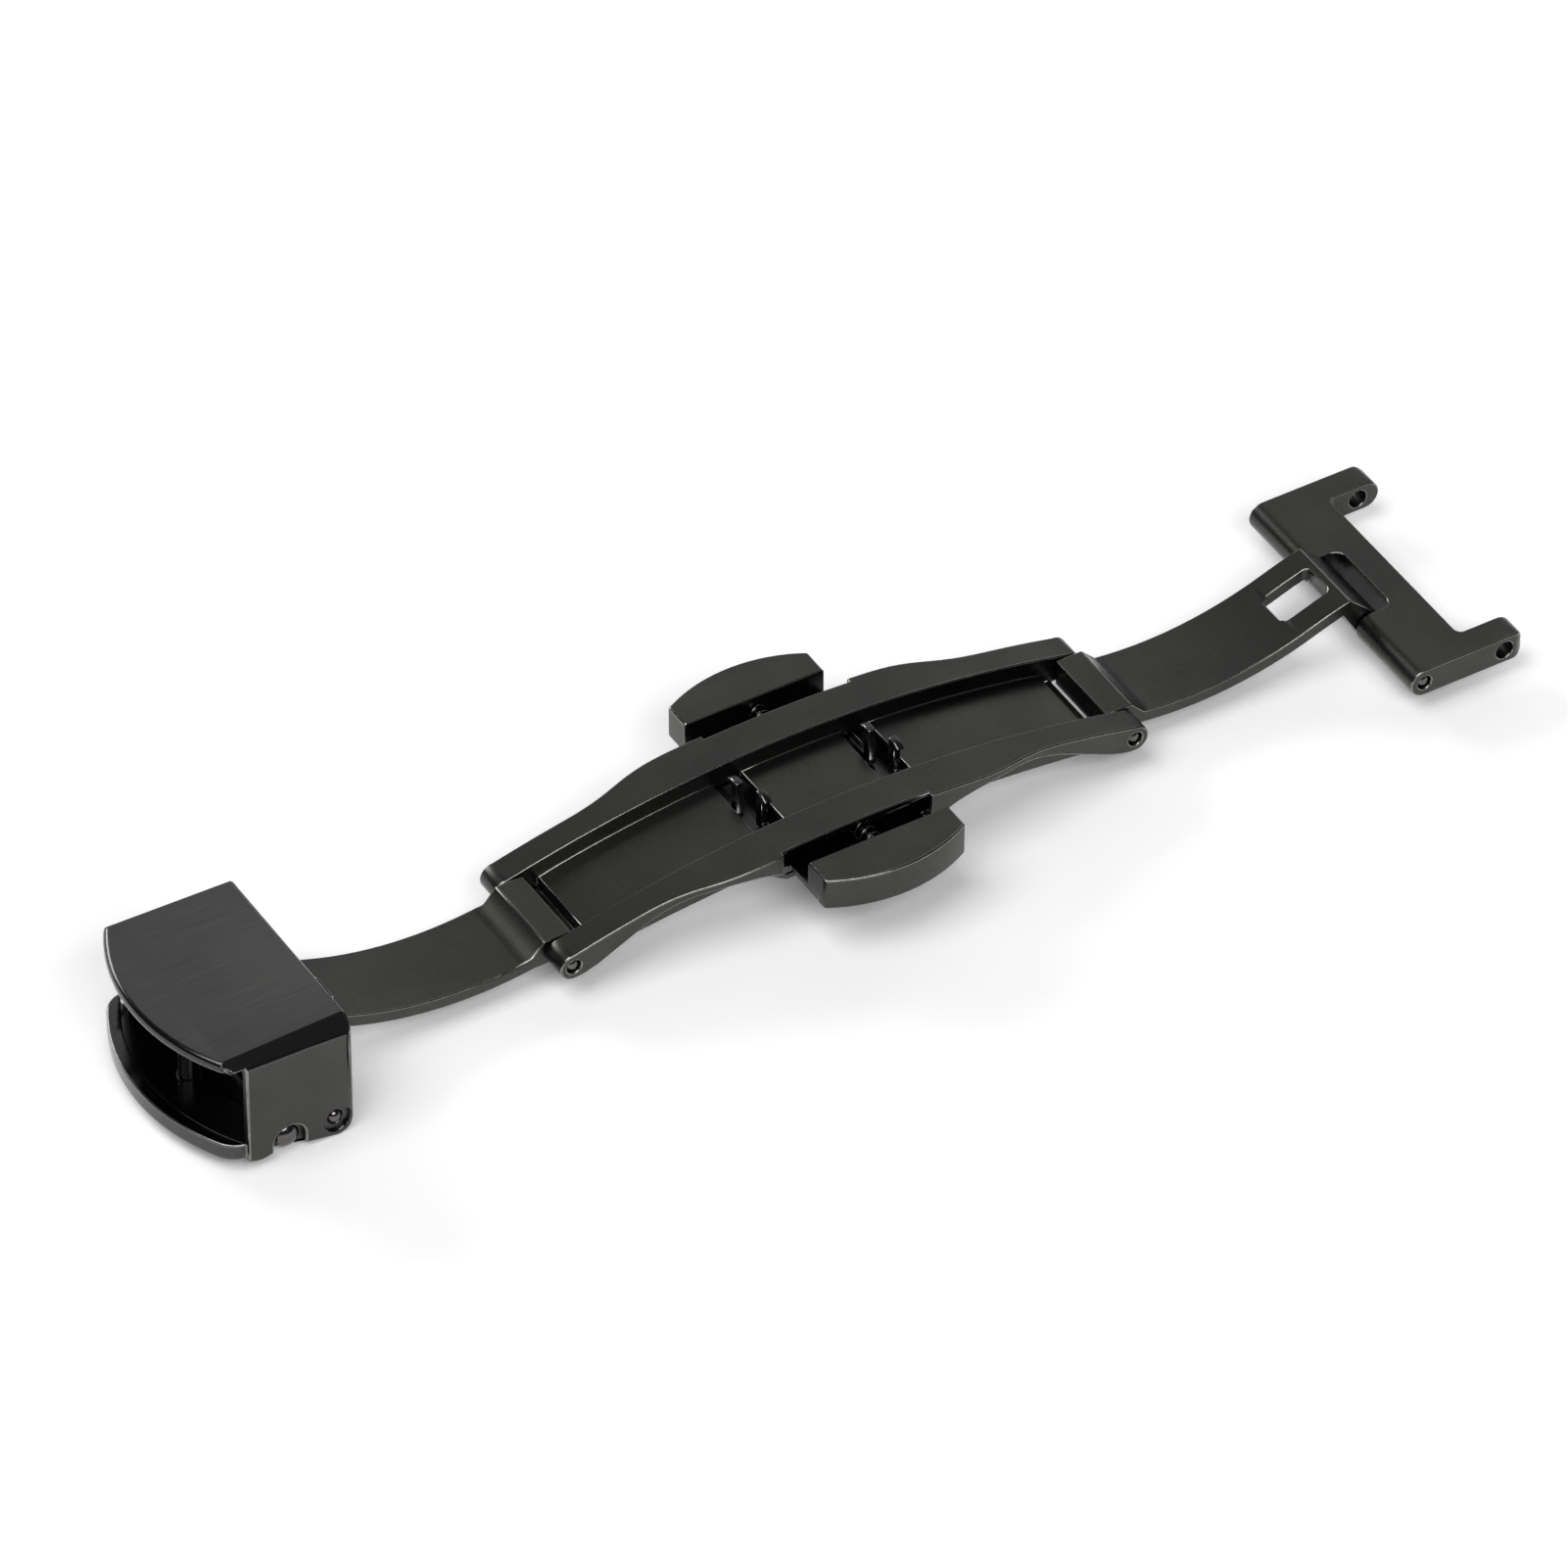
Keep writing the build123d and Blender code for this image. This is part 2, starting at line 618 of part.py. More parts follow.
def make_pusher(label, turn):
    """A crescent button, slotted for its latch and bored for its guide stem."""
    with BuildPart() as pusher:
        with BuildSketch(plan(pusher_underside, turn=turn)) as outline:
            with BuildLine():
                Line((-pusher_half, -pusher_inner), (pusher_half, -pusher_inner))
                Line((pusher_half, -pusher_inner), (pusher_half, -pusher_side))
                ThreePointArc((pusher_half, -pusher_side), (0, -pusher_peak), (-pusher_half, -pusher_side))
                Line((-pusher_half, -pusher_side), (-pusher_half, -pusher_inner))
            make_face()
            fillet(outline.vertices().group_by(Axis.Y)[0], pusher_corner_round)
        extrude(amount=pusher_height)
        chamfer(pusher.edges().group_by(Axis.Z)[-1], edge_round)
        with BuildSketch(plan(latch_underside - overrun, turn=turn)):
            with Locations((-pusher_half - side_gap, -pusher_inner + side_gap)):
                depth = latch_tongue_outer - pusher_inner + side_gap + seat_gap
                width = pusher_half + side_gap + latch_right + seat_gap
                Rectangle(width, depth, align=(Align.MIN, Align.MAX))
        extrude(amount=overrun + latch_thickness + seat_gap, mode=Mode.SUBTRACT)
        with BuildSketch(side(z=stem_z, y=pusher_inner - side_gap, turn=turn)):
            Circle(stem_r + running_gap)
        extrude(amount=stem_end_y - pusher_inner + 2 * side_gap + pusher_stroke, mode=Mode.SUBTRACT)
        with BuildSketch(plan(latch_underside, turn=turn)):
            with Locations((-latch_rivet_x, -latch_rivet_y), (latch_rivet_x, -latch_rivet_y)):
                Circle(latch_rivet_r + seat_gap)
        extrude(amount=latch_rivet_length + seat_gap, mode=Mode.SUBTRACT)
    save(pusher, label)


def make_latch(label, turn):
    """A flat latch under the floor, with two arms that end in upright claws."""
    arm_places = (claw_centre + claw_pitch / 2, -claw_centre + claw_pitch / 2)
    with BuildPart() as latch:
        with BuildSketch(plan(latch_underside, turn=turn)):
            base_depth = latch_base_outer - latch_base_inner
            base_end = arm_places[0] + claw_width / 2
            with Locations((-latch_wing, -latch_base_inner)):
                Rectangle(latch_wing + base_end, base_depth, align=(Align.MIN, Align.MAX))
            with Locations((-latch_left, -latch_base_inner)):
                tongue_depth = latch_tongue_outer - latch_base_inner
                Rectangle(latch_left + latch_right, tongue_depth, align=(Align.MIN, Align.MAX))
            for x in arm_places:
                with Locations((x, -arm_inner)):
                    Rectangle(claw_width, latch_base_outer - arm_inner, align=(Align.CENTER, Align.MAX))
            with Locations((-latch_rivet_x, -latch_rivet_y), (latch_rivet_x, -latch_rivet_y)):
                Circle(latch_rivet_r + seat_gap, mode=Mode.SUBTRACT)
        extrude(amount=latch_thickness)
        for x in arm_places:
            with BuildSketch(across(x, turn=turn)):
                claw_top = claw_lip_z + claw_lip_thickness
                with BuildLine():
                    Polyline(
                        (-claw_inner, latch_underside),
                        (-claw_inner, claw_top),
                        (-claw_outer, claw_top),
                        (-claw_outer - claw_lip, claw_top - claw_lead),
                        (-claw_outer - claw_lip, claw_lip_z),
                        (-claw_outer, claw_lip_z),
                        (-claw_outer, latch_underside),
                        close=True,
                    )
                make_face()
            extrude(amount=claw_width / 2, both=True)
    save(latch, label)


def make_stem(label, turn):
    """A guide stem: held in the channel's wall, and free to slide in the pusher."""
    start_y = core_half - guide_hole_depth + seat_gap
    with BuildPart() as stem:
        with BuildSketch(side(z=stem_z, y=start_y, turn=turn)):
            Circle(stem_r)
        extrude(amount=stem_end_y - start_y)
        ends = stem.edges().group_by(Axis.Y)
        chamfer(ends[0 if turn == 1 else -1], edge_round)
    save(stem, label)


def make_spring(label, turn):
    """The return spring's envelope, between the channel's wall and the pusher."""
    length = pusher_inner - core_half - 2 * running_gap
    with BuildPart() as spring:
        with BuildSketch(side(z=stem_z, y=core_half + running_gap, turn=turn)):
            Circle(spring_r)
            Circle(spring_r - spring_wire, mode=Mode.SUBTRACT)
        extrude(amount=length)
    save(spring, label)


def make_latch_rivets(label, turn):
    """Two rivets that hold the latch in the pusher's slot."""
    with BuildPart() as rivets:
        with BuildSketch(plan(latch_underside, turn=turn)):
            with Locations((-latch_rivet_x, -latch_rivet_y), (latch_rivet_x, -latch_rivet_y)):
                Circle(latch_rivet_r)
        extrude(amount=latch_rivet_length)
    save(rivets, label)


# The near and far pushers are one design, turned half round about the middle
for where, turn in (("near", 1), ("far", -1)):
    make_pusher(f"{where}_pusher", turn)
    make_latch(f"{where}_latch", turn)
    make_stem(f"{where}_guide_stem", turn)
    make_spring(f"{where}_return_spring", turn)
    make_latch_rivets(f"{where}_latch_rivets", turn)
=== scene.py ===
# %% [markdown]
# # A deployant clasp in black coated steel
#
# The clasp lies open: a long bowed channel in the middle, a thin leaf folded out at each end, a
# hooded cap with a strap gate on the left and a forked lug plate on the right. Two crescent pushers
# stand out at the sides and carry the claws that hold the closed leaves.
#
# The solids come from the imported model. They have the right shape, but knife edges and no finish.
# This script dresses them: it finishes every surface, rounds the edges, turns the pins, winds the
# two springs and sets up the studio.

# %% load the frame
import json
import math

import bmesh
import bpy
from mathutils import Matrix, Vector
from mathutils.bvhtree import BVHTree


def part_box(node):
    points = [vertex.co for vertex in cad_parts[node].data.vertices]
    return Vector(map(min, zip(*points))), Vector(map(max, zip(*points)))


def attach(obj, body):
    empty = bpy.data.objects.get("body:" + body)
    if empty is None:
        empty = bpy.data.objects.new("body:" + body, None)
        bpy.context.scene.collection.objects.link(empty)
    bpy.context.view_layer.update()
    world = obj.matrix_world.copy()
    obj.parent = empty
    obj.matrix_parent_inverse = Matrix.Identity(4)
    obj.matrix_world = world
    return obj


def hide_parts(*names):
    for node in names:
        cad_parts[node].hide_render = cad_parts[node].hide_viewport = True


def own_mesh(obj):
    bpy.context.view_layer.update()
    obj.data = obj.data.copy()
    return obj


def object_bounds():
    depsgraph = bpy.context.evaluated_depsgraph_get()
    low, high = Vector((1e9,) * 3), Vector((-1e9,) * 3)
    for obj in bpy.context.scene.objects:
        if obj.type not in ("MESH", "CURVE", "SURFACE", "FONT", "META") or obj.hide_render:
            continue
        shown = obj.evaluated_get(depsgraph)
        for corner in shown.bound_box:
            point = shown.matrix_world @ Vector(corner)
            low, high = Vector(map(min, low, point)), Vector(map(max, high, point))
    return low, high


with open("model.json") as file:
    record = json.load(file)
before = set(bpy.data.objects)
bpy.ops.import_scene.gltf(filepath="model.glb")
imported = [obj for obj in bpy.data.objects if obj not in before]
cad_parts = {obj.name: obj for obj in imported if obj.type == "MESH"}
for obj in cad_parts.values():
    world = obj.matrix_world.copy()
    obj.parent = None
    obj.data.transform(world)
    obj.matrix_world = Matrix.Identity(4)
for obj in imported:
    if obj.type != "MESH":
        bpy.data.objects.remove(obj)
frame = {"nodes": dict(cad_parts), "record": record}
cad_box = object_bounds()

# %% [markdown]
# Blender works in metres and a clasp is measured in millimetres, so one value turns the second into
# the first.
#
# An operator works on all that is selected, and the solids come in selected. So each piece is
# selected alone before anything is done to it, and its mesh is opened with all of it selected.

# %% units and selecting
MM = 0.001


def only(piece):
    """Selects one object and makes it the active one, in object mode."""
    if bpy.context.object and bpy.context.object.mode != "OBJECT":
        bpy.ops.object.mode_set(mode="OBJECT")
    bpy.ops.object.select_all(action="DESELECT")
    piece.select_set(True)
    bpy.context.view_layer.objects.active = piece


def open_mesh(piece):
    """Opens one object in edit mode, with its whole mesh selected."""
    only(piece)
    bpy.ops.object.mode_set(mode="EDIT")
    bpy.ops.mesh.select_all(action="SELECT")


def close_mesh():
    """Goes back to object mode."""
    bpy.ops.object.mode_set(mode="OBJECT")


def apply_modifiers(piece):
    """Bakes every modifier of the piece into its mesh, from the top of the stack down."""
    only(piece)
    for modifier in list(piece.modifiers):
        bpy.ops.object.modifier_apply(modifier=modifier.name)


print("clasp:", [round((high - low) / MM, 2) for low, high in zip(*cad_box)], "mm")

# %% [markdown]
# ## Camera
#
# The photograph looks down at the clasp from its left front with a long lens, so edges that are
# parallel on the clasp stay almost parallel in the picture. The direction was solved from those
# edges. The camera could follow a Track To constraint, but two angles say the same and stay as they
# are. It stands 0.9 m away, where a lens of 322 mm on a 36 mm sensor frames the 100 mm long part.

# %% the camera
CAMERA_AT_MM = (-349.9, -577.2, 610.5)
LOOKS_DOWN_DEG = 41.88
LOOKS_RIGHT_DEG = 31.12

camera_data = bpy.data.cameras.new("studio_camera")
camera_data.sensor_width = 36
camera_data.lens = 322.08
camera_data.clip_end = 20

camera = bpy.data.objects.new("studio_camera", camera_data)
camera.location = Vector(CAMERA_AT_MM) * MM
camera.rotation_euler = (math.radians(90 - LOOKS_DOWN_DEG), 0, math.radians(-LOOKS_RIGHT_DEG))
bpy.context.scene.collection.objects.link(camera)
bpy.context.scene.camera = camera
print("camera at", [round(v, 4) for v in camera.location], "m")

# %% [markdown]
# ## Finishes
#
# Nearly all of this clasp is stainless steel under a black vapour-deposited coat. The coat is only
# a few thousandths of a millimetre thick, so it keeps the texture of the steel below it: blasted,
# brushed or polished. It could be drawn as black paint, but paint mirrors a lamp white and this
# coat mirrors it dark grey. So it is a dark metal, and each finish is a matter of roughness and of
# a fine bump.
#
# Colours are written as the screen shows them, and one function turns them linear for the shader.
# Another adds a node with its settings, its values and its links in one call.

# %% colours and nodes
def linear(hexcode):
    """The linear colour of an sRGB hex value such as #3a3a3a, by the standard sRGB curve."""
    channels = [int(hexcode[i:i + 2], 16) / 255 for i in (1, 3, 5)]
    red, green, blue = (
        c / 12.92 if c <= 0.04045 else ((c + 0.055) / 1.055) ** 2.4 for c in channels
    )
    return (red, green, blue, 1.0)


def add_node(tree, kind, settings=None, values=None, links=None):
    """Adds one node, with its settings, its socket values and the links into its sockets."""
    node = tree.nodes.new(kind)
    for name, value in (settings or {}).items():
        setattr(node, name, value)
    for socket, value in (values or {}).items():
        node.inputs[socket].default_value = value
    for socket, output in (links or {}).items():
        tree.links.new(output, node.inputs[socket])
    return node


print("#808080 is", round(linear("#808080")[0], 3), "in linear light")

# %% [markdown]
# One recipe serves every metal here. A picture of scratched steel would have seams and one fixed
# size, and noise has neither. The first noise is the grain, as wide as a scratch or a blast pit and
# stretched along the brushing. The second is a cloud, a slow change over some millimetres such as a
# hand leaves on the work. Their sum moves the colour and the gloss together, and the grain alone
# makes the bump.

# %% the grain and the cloud
def grain_and_cloud(tree, grain_mm, cloud_mm, stretch):
    """Adds both noises. Gives the output of the grain alone, and that of the sum of the two."""
    place = add_node(tree, "ShaderNodeTexCoord").outputs["Object"]
    along = add_node(
        tree, "ShaderNodeMapping", values={"Scale": stretch}, links={"Vector": place}
    )
    grain = add_node(
        tree, "ShaderNodeTexNoise",
        values={"Scale": 1 / (grain_mm * MM), "Detail": 3.0, "Roughness": 0.6},
        links={"Vector": along.outputs["Vector"]},
    )
    cloud = add_node(
        tree, "ShaderNodeTexNoise",
        values={"Scale": 1 / (cloud_mm * MM), "Detail": 2.0},
        links={"Vector": place},
    )
    both = add_node(
        tree, "ShaderNodeMath", {"operation": "ADD"},
        links={0: grain.outputs["Fac"], 1: cloud.outputs["Fac"]},
    )
    return grain.outputs["Fac"], both.outputs["Value"]


# %% [markdown]
# Each noise lies around 0.5, so nearly all of their sum lies between 0.7 and 1.3. A Map Range node
# spreads that over the two shades, and another over the gloss: a lighter spot is also smoother, as
# it is on worked steel. The Mix node names none of its colour sockets, so they are told by number.

# %% the recipe for steel
SUM_OF_NOISES = {"From Min": 0.7, "From Max": 1.3}
BUMP_STRENGTH = 0.5
MIX_FIRST, MIX_SECOND, MIX_RESULT = 6, 7, 2


def steel(
    name, light, dark, roughness, grain_mm, depth_mm,
    stretch=(1, 1, 1), cloud_mm=6.0, spread=0.06,
):
    """A metal with two shades, a grain of the given width and depth, and a slow cloud over it.

    The roughness changes by spread to both sides.
    """
    material = bpy.data.materials.new(name)
    material.use_nodes = True
    tree = material.node_tree
    shader = tree.nodes["Principled BSDF"]
    grain, both = grain_and_cloud(tree, grain_mm, cloud_mm, stretch)
    shade = add_node(tree, "ShaderNodeMapRange", values=SUM_OF_NOISES, links={"Value": both})
    colour = add_node(
        tree, "ShaderNodeMix", {"data_type": "RGBA"},
        values={MIX_FIRST: linear(dark), MIX_SECOND: linear(light)},
        links={0: shade.outputs["Result"]},
    )
    gloss = add_node(
        tree, "ShaderNodeMapRange",
        values={**SUM_OF_NOISES, "To Min": roughness + spread, "To Max": roughness - spread},
        links={"Value": both},
    )
    relief = add_node(
        tree, "ShaderNodeBump",
        values={"Strength": BUMP_STRENGTH, "Distance": depth_mm * MM},
        links={"Height": grain},
    )
    shader.inputs["Metallic"].default_value = 1.0
    tree.links.new(colour.outputs[MIX_RESULT], shader.inputs["Base Color"])
    tree.links.new(gloss.outputs["Result"], shader.inputs["Roughness"])
    tree.links.new(relief.outputs["Normal"], shader.inputs["Normal"])
    return material


# %% [markdown]
# The channel, the leaves, the pushers and the lug plate are satin. The cap's top is brushed along
# the strap. The gate and the cap's bevels are polished, and every edge has been rubbed bright. All
# four are the same coat, so their shades lie close together and the roughness sets them apart.

# %% satin, brushed and polished black steel
# Blasted and coated: an even dark grey that mirrors nothing sharply. A real pit is finer than a
# pixel, so the pits are drawn as coarse as they need to show.
satin_black = steel(
    "satin_black_coated_steel", light="#4e4e4c", dark="#434342",
    roughness=0.32, grain_mm=0.15, depth_mm=0.002,
)
# Brushed and coated: streaks 0.1 mm wide and some 3 mm long, coarser than real ones, so that they
# show. The cloud is wide, as one stroke of the belt covers the whole top.
brushed_black = steel(
    "brushed_black_coated_steel", light="#5e5e5d", dark="#515151",
    roughness=0.33, grain_mm=0.1, depth_mm=0.002, stretch=(0.03, 1, 1), cloud_mm=15,
)
# Polished and coated: nearly black, as it mirrors dark surroundings, with clear glints of lamps.
polished_black = steel(
    "polished_black_coated_steel", light="#525253", dark="#464647",
    roughness=0.16, grain_mm=0.3, depth_mm=0.0005, spread=0.02,
)
# The coat burnished by wear: lighter and glossier, so that each rounded edge draws a line.
bright_edge = steel(
    "worn_bright_coated_edge", light="#8c8b88", dark="#6a6967",
    roughness=0.2, grain_mm=0.4, depth_mm=0.0005, spread=0.03,
)
for metal in (satin_black, brushed_black, polished_black, bright_edge):
    print(metal.name, "nodes", len(metal.node_tree.nodes))

# %% [markdown]
# The latches with their claws, the gate's tongue and the cover are plain parts with the marks of
# the tool still on them. The pins and the guide stems are turned and polished before they are
# coated. The rivets are turned too and stay plain. The springs are drawn wire, blackened like the
# rest.

# %% stamped parts, pins, rivets and wire
# Stamped and coated: marks 0.2 mm wide and 2 mm long across the strap, and an uneven grey.
stamped_black = steel(
    "stamped_black_coated_steel", light="#545454", dark="#3d3d3d",
    roughness=0.28, grain_mm=0.2, depth_mm=0.002, stretch=(1, 0.1, 1),
)
# Turned, polished and coated rod: a smooth end that mirrors a lamp as one small glint.
pin_polished = steel(
    "polished_black_steel_pin", light="#737170", dark="#575554",
    roughness=0.16, grain_mm=0.1, depth_mm=0.0005, spread=0.03,
)
# Turned and blackened: a dull dark head that hardly stands out from the cover.
rivet_dark = steel(
    "turned_black_rivet", light="#5a5a5a", dark="#444444",
    roughness=0.3, grain_mm=0.1, depth_mm=0.001,
)
# Cold drawn and blackened: smooth, with a thin line of light along each turn.
wire_dark = steel(
    "drawn_spring_wire", light="#5c5a57", dark="#454442",
    roughness=0.22, grain_mm=0.08, depth_mm=0.0005, stretch=(1, 0.2, 1),
)
print("metals so far:", [material.name for material in bpy.data.materials])

# %% [markdown]
# Every node of the model gets its finish here. Most of them are replaced by a dressed piece further
# down, which takes its finish from the same list. The stems, the rivets, the cover and the tongue
# keep their solids, because they are hidden or too small for a rounded edge to show.

# %% each node's finish
finish_of = {
    "centre_channel": satin_black,
    "left_leaf": satin_black,
    "right_leaf": satin_black,
    "lug_plate": satin_black,
    "cap_shell": brushed_black,
    "strap_gate": polished_black,
    "strap_tongue": stamped_black,
    "near_pusher": satin_black,
    "far_pusher": satin_black,
    "near_latch": stamped_black,
    "far_latch": stamped_black,
    "mechanism_cover": stamped_black,
    "near_guide_stem": pin_polished,
    "far_guide_stem": pin_polished,
    "cover_rivets": rivet_dark,
    "near_latch_rivets": rivet_dark,
    "far_latch_rivets": rivet_dark,
    "left_channel_pin": pin_polished,
    "right_channel_pin": pin_polished,
    "lug_plate_pin": pin_polished,
    "cap_hinge_pin": pin_polished,
    "gate_pin": pin_polished,
    "near_return_spring": wire_dark,
    "far_return_spring": wire_dark,
}


def finish(piece, material):
    """Gives the whole piece one finish."""
    piece.data.materials.clear()
    piece.data.materials.append(material)


for node, material in finish_of.items():
    finish(frame["nodes"][node], material)
print("finished nodes:", len(finish_of))

# %% [markdown]
# ## Broken edges
#
# No edge of a worn clasp is a knife edge: tumbling and polishing leave a radius of about a tenth of
# a millimetre, brighter than the satin beside it, and that line is what catches the light in the
# photograph. The line could be painted on, but only a real round mirrors the lamps from every side.
#
# So each solid that shows gets a copy with rounded edges. The copy's loose triangles are merged,
# and those that lie flat beside each other are dissolved into whole faces, so that only the true
# edges are left. The gate's rim is a long bent face, which Blender may fill across its hollow side
# once its corners have moved. It is cut into convex faces, which can't be filled wrongly.

# %% a copy in whole faces
SAME_CORNER = 0.002 * MM
FLAT = math.radians(1)


def finished_copy(node, convex=False):
    """A copy of a CAD node with its triangles merged into whole faces, or into convex ones."""
    piece = bpy.data.objects.new(node + "_finished", frame["nodes"][node].data.copy())
    bpy.context.scene.collection.objects.link(piece)
    open_mesh(piece)
    bpy.ops.mesh.remove_doubles(threshold=SAME_CORNER)
    bpy.ops.mesh.dissolve_limited(angle_limit=FLAT)
    if convex:
        bpy.ops.mesh.vert_connect_concave()
    close_mesh()
    finish(piece, finish_of[node])
    return piece


# %% [markdown]
# A round takes its width from the faces on both sides of the edge. Where a face is a narrower
# strip than that, as on the end of a thin wall, the rounds would cross and turn it inside out. So
# the room beside each edge is measured first: from three points along the edge, straight inwards
# over the face, up to the first edge that is met. Edges inside a flat surface don't count.

# %% the room beside an edge
POINTS_ALONG_EDGE = (0.05, 0.5, 0.95)
NO_REAL_EDGE = math.radians(0.5)
FAR_AWAY = 1.0


def room_beside(loop):
    """How far a face reaches inwards from one of its edges, up to the next edge where it ends."""
    start = loop.vert.co
    step = loop.link_loop_next.vert.co - start
    along = step.normalized()
    inwards = loop.face.normal.cross(along)
    room = FAR_AWAY
    for other in loop.face.edges:
        touches = set(other.verts) & set(loop.edge.verts)
        if touches or other.calc_face_angle(1) < NO_REAL_EDGE:
            continue
        for share in POINTS_ALONG_EDGE:
            a, b = (vert.co - start - step * share for vert in other.verts)
            ax, bx = a.dot(along), b.dot(along)
            if (ax > 0) != (bx > 0):
                reach = a.dot(inwards) - ax * (b - a).dot(inwards) / (bx - ax)
                if reach > 0:
                    room = min(room, reach)
    return room


# %% [markdown]
# The Bevel modifier can round by an angle alone, but here each edge gets a weight, so that it can
# have its own round. An edge that stands out has the full weight. An inner corner has a smaller
# one, as a polishing wheel hardly reaches it. An edge beside a face without room for 1.2 widths has
# none and stays sharp. A part of the weight would not do there: along an edge made of many short
# ones, a round that changes its width from one to the next throws spikes.

# %% a weight for each edge
ROOM_NEEDED = 1.2


def weigh_edges(mesh, width_mm, hollow, limit):
    """Weighs each edge for the bevel: 1 if it stands out, hollow in a corner, 0 if it stays."""
    weight = mesh.edges.layers.float.new("bevel_weight_edge")
    for edge in mesh.edges:
        if len(edge.link_faces) == 2:
            turn = math.degrees(edge.calc_face_angle_signed())
            edge[weight] = 1.0 if turn > limit else hollow if turn < -limit else 0.0
            if edge[weight]:
                room = min(room_beside(loop) for loop in edge.link_loops)
                if room < ROOM_NEEDED * width_mm * MM:
                    edge[weight] = 0.0


# %% [markdown]
# The Bevel modifier makes the rounds and gives their faces the piece's second material. Its clamp
# stays off, because it would shrink every round of a piece to what the tightest spot allows.

# %% bevel by weight
EDGE_MATERIAL = 1
ROUND_SEGMENTS = 3


def bevel_edges(piece, width_mm):
    """Rounds the edges of a piece by their weights."""
    bevel = piece.modifiers.new("broken_edges", "BEVEL")
    bevel.limit_method = "WEIGHT"
    bevel.width = width_mm * MM
    bevel.segments = ROUND_SEGMENTS
    bevel.material = EDGE_MATERIAL
    bevel.use_clamp_overlap = False
    bevel.face_strength_mode = "FSTR_ALL"
    apply_modifiers(piece)


# %% [markdown]
# Where several rounds meet in a corner, a point may be thrown out of the metal. Each point that
# ends up further from the solid than the round is wide is drawn back to it, and points that all but
# touch are merged.

# %% mend the corners
TOUCHING = 0.008 * MM


def mend_corners(piece, solid, width_mm):
    """Draws stray points back to the solid, and merges points that all but touch."""
    strays = 0
    for vertex in piece.data.vertices:
        nearest, _, _, distance = solid.find_nearest(vertex.co)
        if distance > width_mm * MM:
            vertex.co = nearest
            strays += 1
    open_mesh(piece)
    bpy.ops.mesh.remove_doubles(threshold=TOUCHING)
    close_mesh()
    print(piece.name, "points drawn back:", strays)


# %% [markdown]
# At last the shading. Two faces keep a sharp border only where the surface turns by more than 40
# degrees, and weighted normals keep the large faces flat to the eye beside the small round ones.
# One function then does all the steps in turn.

# %% round the edges
SOFT = math.radians(40)


def smooth(piece):
    """Shades the rounds smooth and the large faces flat."""
    bpy.ops.object.shade_smooth_by_angle(angle=SOFT)
    flat = piece.modifiers.new("flat_faces", "WEIGHTED_NORMAL")
    flat.keep_sharp = True
    flat.use_face_influence = True
    apply_modifiers(piece)


def round_edges(piece, width_mm, hollow=0.5, limit=40):
    """Rounds the edges of a piece that turn by more than the limit, in degrees.

    An inner corner is rounded by the share hollow of the width. The rounds get the bright finish.
    """
    mesh = bmesh.new()
    mesh.from_mesh(piece.data)
    weigh_edges(mesh, width_mm, hollow, limit)
    solid = BVHTree.FromBMesh(mesh)
    mesh.to_mesh(piece.data)
    mesh.free()
    piece.data.materials.append(bright_edge)
    bevel_edges(piece, width_mm)
    mend_corners(piece, solid, width_mm)
    smooth(piece)


# %% [markdown]
# A dressed piece stands for its solid: it moves with the same body, and the solid itself is hidden.

# %% stand for a solid
body_of = {
    node: body for body, nodes in frame["record"]["behaviour"]["bodies"].items() for node in nodes
}


def stand_in(piece, node):
    """The piece stands for the CAD node: it rides on the node's body, and the node is hidden."""
    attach(piece, body_of[node])
    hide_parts(node)
    print(piece.name, "faces", len(piece.data.polygons))


# %% [markdown]
# The photograph tells how far each edge was broken. The channel's rounds are wide, and the foot of
# its trough is rounded nearly as much, since it draws a clear line. The latches keep close inner
# corners under their small claws. The pushers' chamfers turn by less than 50 degrees and stay
# crisp, but they are polished like the edges. So their faces, which are neither upright nor level,
# get that finish too.

# %% the parts that show their edges
# By the height of its normal, a face is upright below the first value and level above the second.
UPRIGHT, LEVEL = 0.25, 0.97

edges_of = {
    "centre_channel": {"width_mm": 0.12, "hollow": 0.9},
    "left_leaf": {"width_mm": 0.1},
    "right_leaf": {"width_mm": 0.1},
    "lug_plate": {"width_mm": 0.1},
    "near_pusher": {"width_mm": 0.1, "limit": 50},
    "far_pusher": {"width_mm": 0.1, "limit": 50},
    "near_latch": {"width_mm": 0.1, "hollow": 0.2},
    "far_latch": {"width_mm": 0.1, "hollow": 0.2},
    "strap_gate": {"width_mm": 0.13},
}
for node, edges in edges_of.items():
    piece = finished_copy(node, convex=node == "strap_gate")
    round_edges(piece, **edges)
    if node.endswith("pusher"):
        for face in piece.data.polygons:
            if UPRIGHT < face.normal.z < LEVEL:
                face.material_index = EDGE_MATERIAL
    stand_in(piece, node)

# %% [markdown]
# The cap is one piece with several finishes. Its top is brushed, its side faces are satin, and the
# slopes between them are polished almost to a mirror. It could be cut into pieces, but they would
# show seams, so each face is told by its normal and given its own material. The rounds about the
# hinge pin's hole are polished too: as bright edges they would outshine the pin.

# %% the cap
SATIN_SIDES, POLISHED_SLOPES = 2, 3
HOLE_RING = 1.2 * MM

